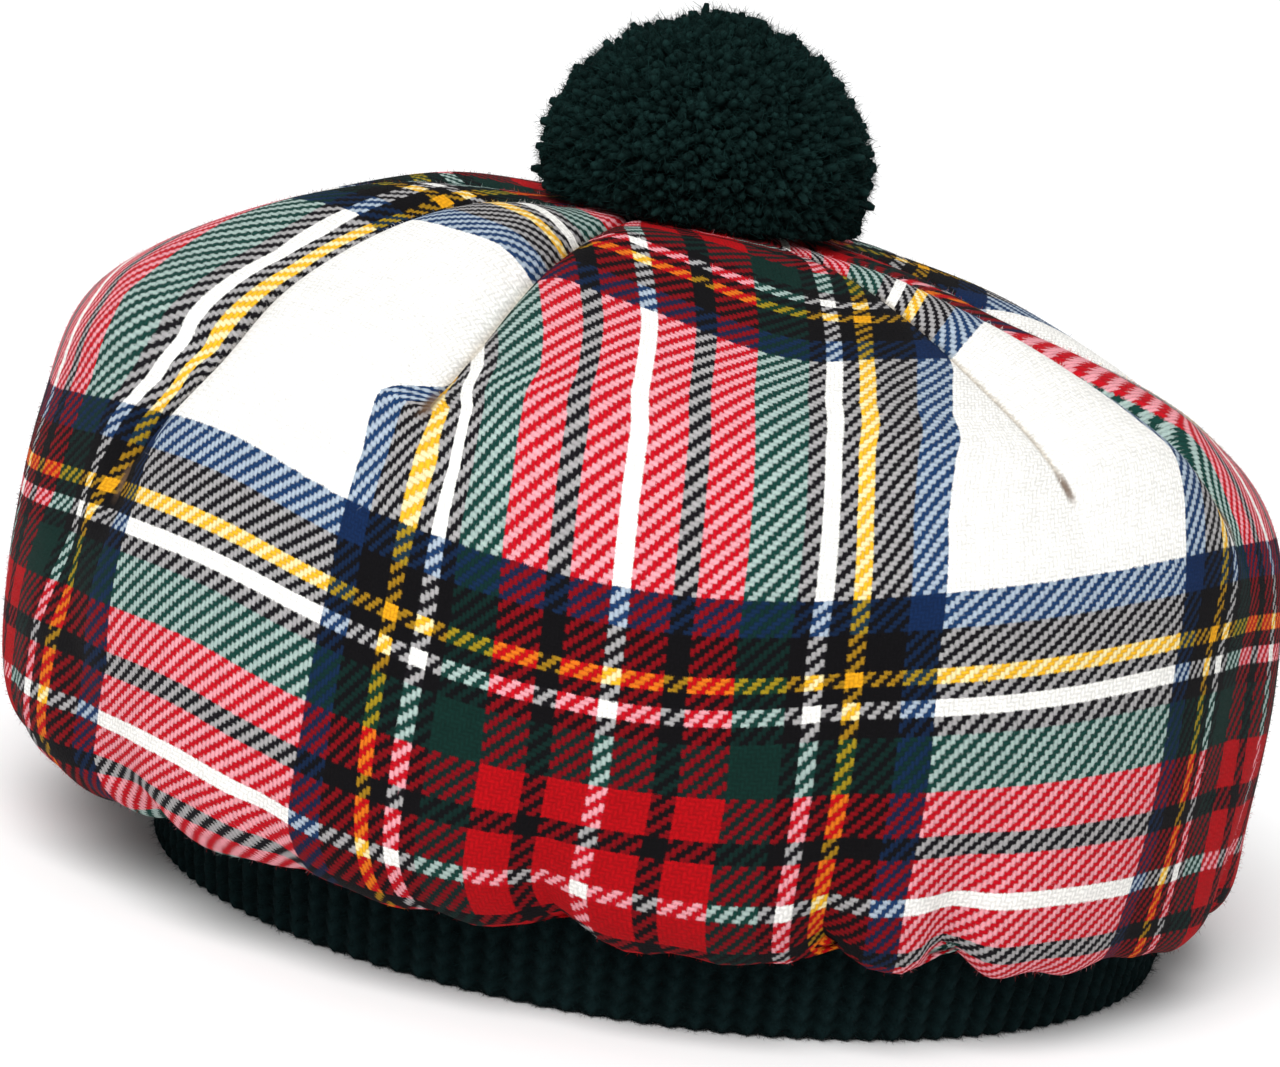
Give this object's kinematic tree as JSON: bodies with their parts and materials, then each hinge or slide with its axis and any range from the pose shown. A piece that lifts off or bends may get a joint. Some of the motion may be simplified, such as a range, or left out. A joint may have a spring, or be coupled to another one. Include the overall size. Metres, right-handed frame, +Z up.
{
  "type": "tam o shanter",
  "caption": "Soft round hat of tartan cloth, drawn in with darts and gathered into a ribbed knitted headband, with a pompom on the middle of the crown.",
  "frame": {"origin": "on the surface that the headband stands on, under the middle of the hat's bounding box", "axes": "+Z up from the headband to the pompom, -Y to the front of the hat, +X to the right in a view from the front"},
  "size_m": [0.2439, 0.2468, 0.1754],
  "materials": {
    "tartan_wool": "woven 2/2 twill, brushed",
    "ribbed_knit": "1x1 rib knitting",
    "pompom_yarn": "cut yarn ends"
  },
  "bodies": {
    "root": {"crown": "tartan_wool", "headband": "ribbed_knit", "toorie": "pompom_yarn"}
  },
  "joints": []
}
